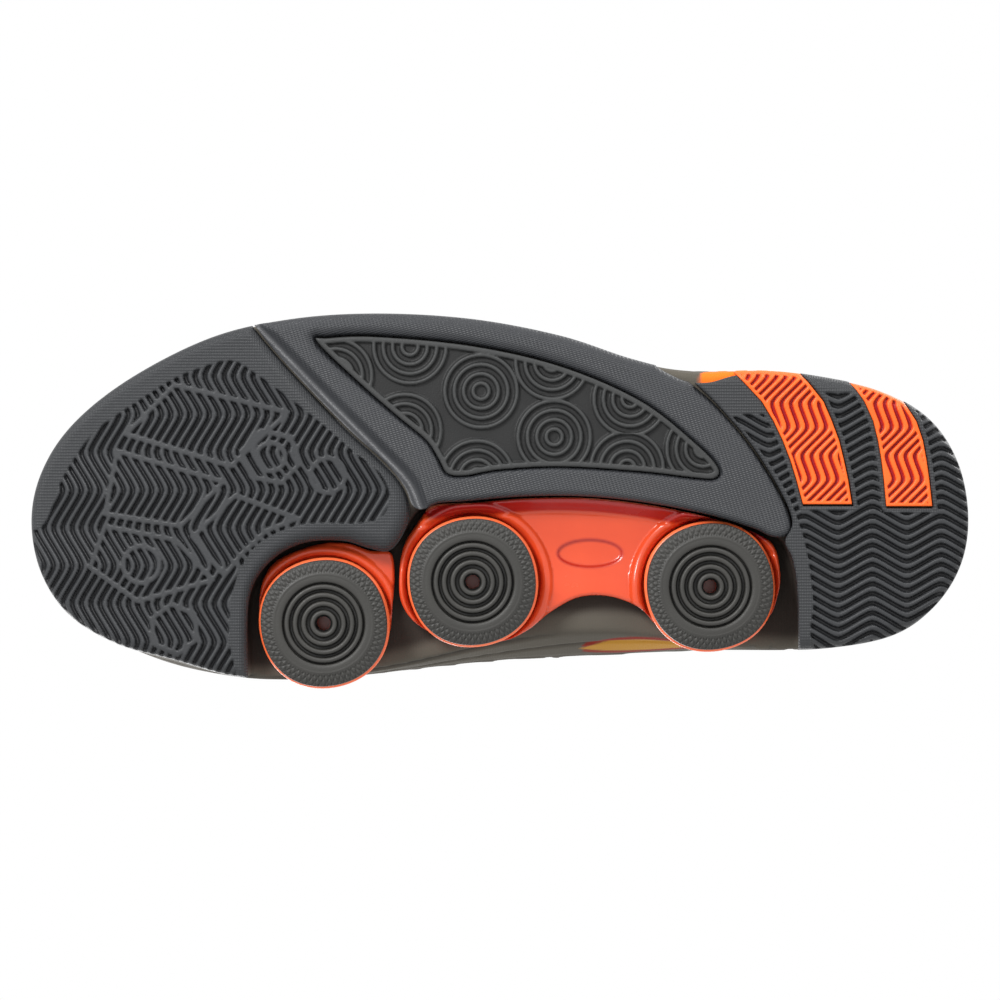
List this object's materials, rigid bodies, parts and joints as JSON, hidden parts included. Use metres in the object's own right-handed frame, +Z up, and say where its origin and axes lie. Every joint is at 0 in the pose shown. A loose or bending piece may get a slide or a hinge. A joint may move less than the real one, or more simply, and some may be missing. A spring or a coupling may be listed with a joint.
{
  "type": "basketball high top",
  "caption": "Left basketball high top with herringbone rubber outsole, round cushioning pods in an orange chassis, laced leather and mesh upper and padded collar",
  "frame": {"origin": "centre of the overall footprint, on the ground plane the sole rests on", "axes": "+X to the toe, +Y to the outer (lateral) side, +Z up"},
  "size_m": [0.3048, 0.122, 0.1688],
  "materials": {
    "tread_rubber": "dark grey ribbed rubber, slightly worn",
    "ring_rubber": "softer mid grey rubber with rings",
    "orange_rubber": "orange rubber with dark red grooves",
    "pod_rubber": "matt dark grey rubber, knurled rim",
    "orange_elastomer": "bright orange elastomer",
    "orange_gloss": "glossy moulded orange plastic",
    "midsole_foam": "moulded taupe foam, fine skin texture",
    "shank_plastic": "black fibre-filled plastic",
    "board_card": "fibre board",
    "sockliner_fabric": "knit fabric over foam",
    "vamp_mesh": "taupe woven mesh",
    "upper_leather": "taupe nubuck leather",
    "overlay_suede": "dark suede",
    "eyestay_leather": "dark smooth leather",
    "counter_plastic": "silver grey moulded plastic",
    "webbing": "ochre woven webbing",
    "ochre_leather": "ochre leather with red-brown piping",
    "padding_foam": "open-cell foam",
    "collar_knit": "padded collar edge in knit fabric",
    "lining_fabric": "brushed knit lining",
    "tongue_mesh": "spacer mesh over foam",
    "patch_plastic": "blank moulded patch",
    "eyelet_metal": "black painted metal",
    "lace_fabric": "flat woven lace"
  },
  "bodies": {
    "root": {"outsole_forefoot": "tread_rubber", "outsole_midfoot": "tread_rubber", "outsole_heel": "tread_rubber", "ring_traction_insert": "ring_rubber", "heel_insert_front": "orange_rubber", "heel_insert_rear": "orange_rubber", "pod_cushion_ball": "orange_elastomer", "pod_cushion_arch": "orange_elastomer", "pod_cushion_heel": "orange_elastomer", "arch_chassis": "orange_gloss", "ball_pod_carrier": "orange_gloss", "midsole": "midsole_foam", "shank_plate": "shank_plastic", "strobel_board": "board_card", "sockliner": "sockliner_fabric", "vamp": "vamp_mesh", "quarter_lateral": "upper_leather", "quarter_medial": "upper_leather", "heel_panel": "upper_leather", "toe_cap": "overlay_suede", "eyestay_lateral": "eyestay_leather", "eyestay_medial": "eyestay_leather", "heel_counter": "counter_plastic", "backstay": "webbing", "accent_panel_lateral": "ochre_leather", "accent_panel_medial": "ochre_leather", "ankle_pad_lateral": "padding_foam", "ankle_pad_medial": "padding_foam", "collar_foam": "collar_knit", "collar_lining": "lining_fabric", "heel_stiffener": "board_card", "toe_puff": "board_card", "vamp_lining": "lining_fabric", "tongue": "tongue_mesh", "eyelets": "eyelet_metal", "laces": "lace_fabric"},
    "ball_pod": {"pod_cap_ball": "pod_rubber"},
    "arch_pod": {"pod_cap_arch": "pod_rubber"},
    "heel_pod": {"pod_cap_heel": "pod_rubber"},
    "tongue_flap": {"tongue_top": "tongue_mesh", "tongue_patch": "patch_plastic"},
    "heel_tab": {"pull_tab": "webbing"}
  },
  "joints": [
    {"name": "ball_pod_press", "type": "slide", "parent": "root", "child": "ball_pod", "axis": [0, 0, 1], "range_m": [0, 0.003], "stiffness_N_per_m": 8000, "springref_m": -0.0005, "deforming": ["pod_cushion_ball"]},
    {"name": "arch_pod_press", "type": "slide", "parent": "root", "child": "arch_pod", "axis": [0, 0, 1], "range_m": [0, 0.003], "stiffness_N_per_m": 8000, "springref_m": -0.0005, "deforming": ["pod_cushion_arch"]},
    {"name": "heel_pod_press", "type": "slide", "parent": "root", "child": "heel_pod", "axis": [0, 0, 1], "range_m": [0, 0.003], "stiffness_N_per_m": 8000, "springref_m": -0.0005, "deforming": ["pod_cushion_heel"]},
    {"name": "tongue_flap_hinge", "type": "hinge", "parent": "root", "child": "tongue_flap", "pos_m": [-0.0222, -0.004, 0.1326], "axis": [0, 1, 0], "range_deg": [0, 30], "stiffness_Nm_per_rad": 0.1},
    {"name": "pull_tab_hinge", "type": "hinge", "parent": "root", "child": "heel_tab", "pos_m": [-0.14115, -0.004, 0.1326], "axis": [0, -1, 0], "range_deg": [0, 70], "stiffness_Nm_per_rad": 0.02}
  ]
}
